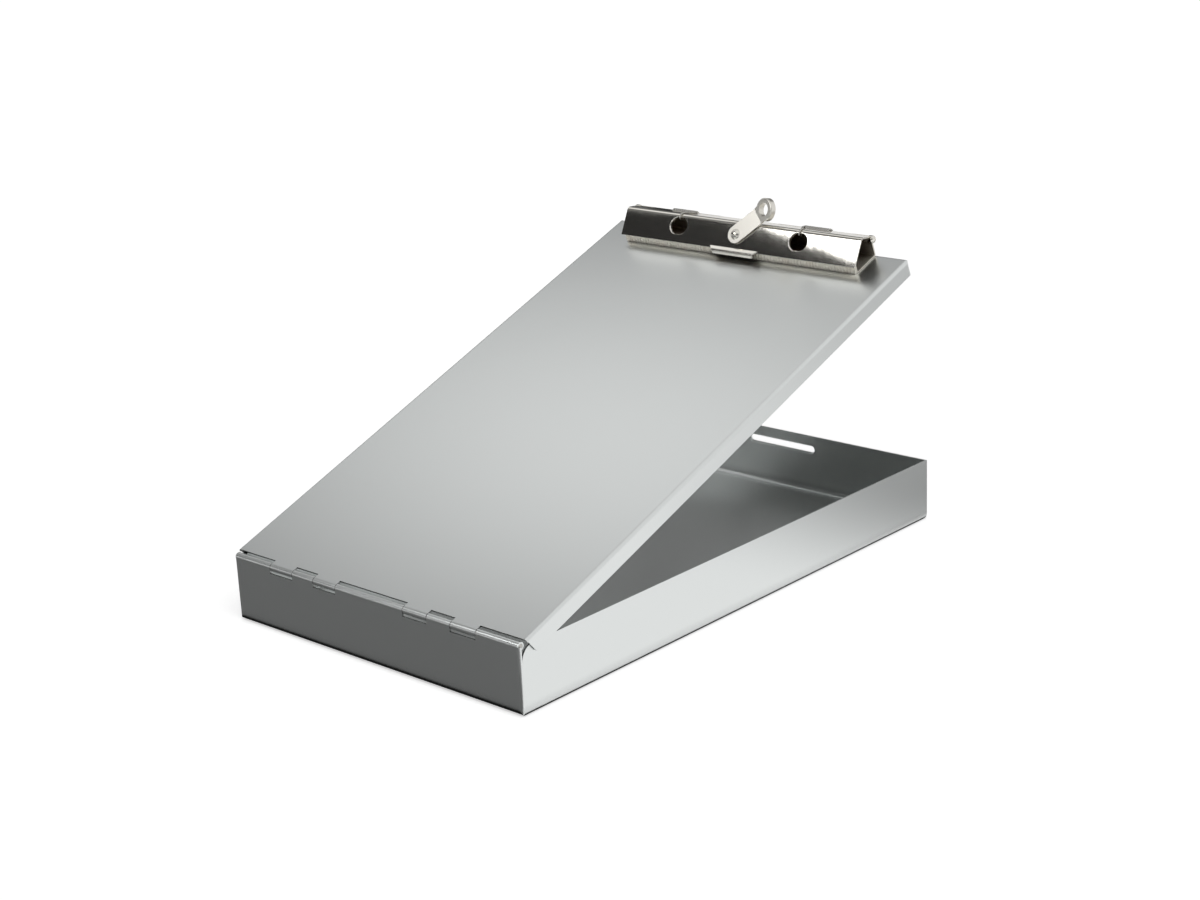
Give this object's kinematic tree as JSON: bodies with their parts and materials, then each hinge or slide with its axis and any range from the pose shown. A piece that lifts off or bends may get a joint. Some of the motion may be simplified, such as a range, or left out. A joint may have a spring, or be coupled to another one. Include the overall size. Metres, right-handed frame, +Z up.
{
  "type": "storage clipboard box",
  "caption": "Shallow rectangular sheet-metal tray with a hinged flanged lid that serves as a writing board, carrying a wide sprung clip with a swinging hanging eye.",
  "frame": {"origin": "middle of the tray's underside, on the surface that it stands on", "axes": "+Z up out of the tray, +Y along its length from the hinge wall to the wall with the slot, +X across its width; the lid is stored open, as pictured"},
  "size_m": [0.238, 0.3822, 0.209],
  "materials": {
    "aluminium": "satin, clear anodised sheet",
    "steel": "plain drawn or headed steel",
    "zinc_plate": "steel, yellow zinc plated",
    "nickel_plate": "steel, bright nickel plated",
    "spring_steel": "nickel plated spring wire"
  },
  "bodies": {
    "tray_body": {"tray": "aluminium", "hinge_pin": "steel"},
    "lid_body": {"lid": "aluminium", "clip_base": "zinc_plate", "clip_rod": "nickel_plate", "spring_left": "spring_steel", "spring_right": "spring_steel", "clip_rivet_1": "steel", "clip_rivet_2": "steel", "clip_rivet_3": "steel", "clip_rivet_4": "steel"},
    "jaw_body": {"clip_jaw": "nickel_plate", "lever_rivet": "nickel_plate", "lever_washer": "steel"},
    "lever_body": {"hang_lever": "nickel_plate"}
  },
  "joints": [
    {"name": "lid_hinge", "type": "hinge", "parent": "tray_body", "child": "lid_body", "pos_m": [0, -0.188, 0.04], "axis": [1, 0, 0], "range_deg": [-20.95, 159.25]},
    {"name": "jaw_hinge", "type": "hinge", "parent": "lid_body", "child": "jaw_body", "pos_m": [0, 0.16068, 0.189], "axis": [-1, 0, 0], "range_deg": [0, 55], "stiffness_Nm_per_rad": 0.146, "springref_deg": -85.94, "deforming": ["spring_left", "spring_right"]},
    {"name": "lever_swivel", "type": "hinge", "parent": "jaw_body", "child": "lever_body", "pos_m": [0, 0.14617, 0.18425], "axis": [0, -0.9118, 0.4107], "range_deg": [-3, 97]}
  ]
}
